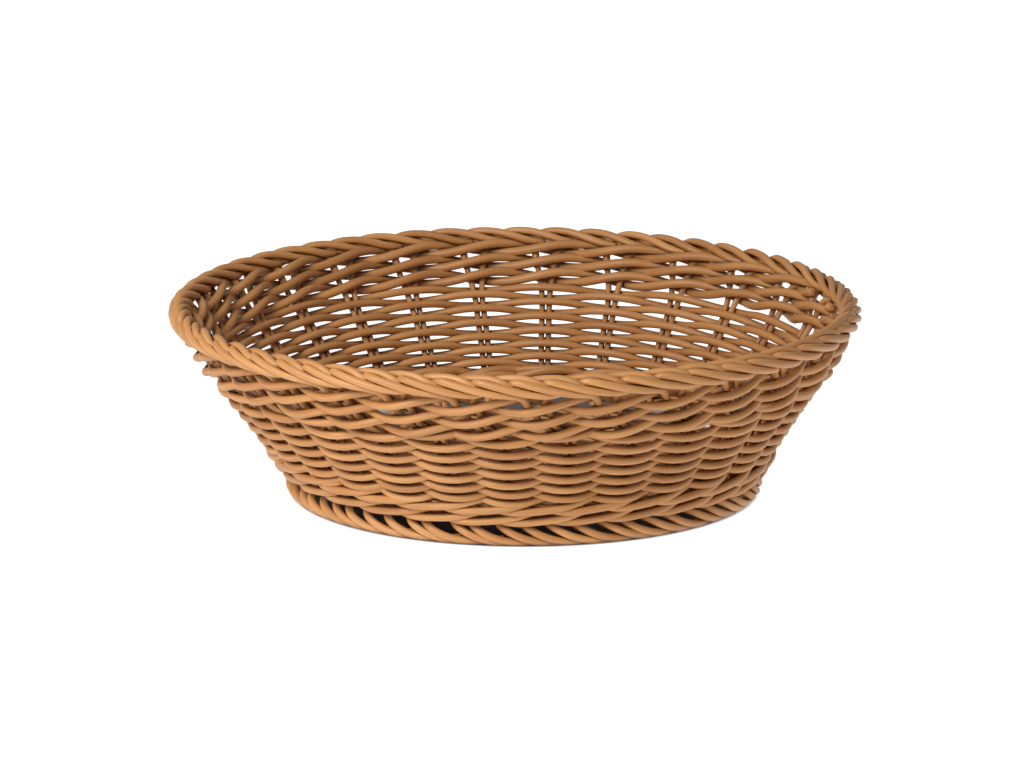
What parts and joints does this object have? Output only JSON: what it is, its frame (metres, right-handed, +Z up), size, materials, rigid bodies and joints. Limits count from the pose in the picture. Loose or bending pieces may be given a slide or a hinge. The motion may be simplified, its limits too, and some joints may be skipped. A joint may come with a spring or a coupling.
{
  "type": "bread basket",
  "caption": "Shallow round woven basket with flared open-weave wall, rope-like rolled rim and foot ring, for serving bread or fruit.",
  "frame": {"origin": "middle of the footprint on the ground plane", "axes": "+Z up along the basket's axis, -Y toward the side seen from the front"},
  "size_m": [0.25, 0.25, 0.0705],
  "materials": {
    "stake_strand": "satin tan synthetic cane, faint lengthwise streaks",
    "weaver_strand": "satin tan synthetic cane, faint lengthwise streaks",
    "border_strand": "satin light tan synthetic cane",
    "base_strand": "satin brown-tan synthetic cane"
  },
  "bodies": {
    "root": {"stake_01": "stake_strand", "stake_02": "stake_strand", "stake_03": "stake_strand", "stake_04": "stake_strand", "stake_05": "stake_strand", "stake_06": "stake_strand", "stake_07": "stake_strand", "stake_08": "stake_strand", "stake_09": "stake_strand", "stake_10": "stake_strand", "stake_11": "stake_strand", "stake_12": "stake_strand", "stake_13": "stake_strand", "stake_14": "stake_strand", "stake_15": "stake_strand", "stake_16": "stake_strand", "stake_17": "stake_strand", "stake_18": "stake_strand", "stake_19": "stake_strand", "stake_20": "stake_strand", "stake_21": "stake_strand", "stake_22": "stake_strand", "stake_23": "stake_strand", "stake_24": "stake_strand", "stake_25": "stake_strand", "stake_26": "stake_strand", "stake_27": "stake_strand", "stake_28": "stake_strand", "stake_29": "stake_strand", "side_weaver": "weaver_strand", "upper_pairing_strand_1": "weaver_strand", "upper_pairing_strand_2": "weaver_strand", "lower_wale_strand_1": "weaver_strand", "lower_wale_strand_2": "weaver_strand", "lower_wale_strand_3": "weaver_strand", "rim_border": "border_strand", "foot_border": "border_strand", "base_stick_1": "base_strand", "base_stick_2": "base_strand", "base_stick_3": "base_strand", "base_stick_4": "base_strand", "base_stick_5": "base_strand", "base_stick_6": "base_strand", "base_stick_7": "base_strand", "base_stick_8": "base_strand", "base_weaver_1": "base_strand", "base_weaver_2": "base_strand"}
  },
  "joints": []
}
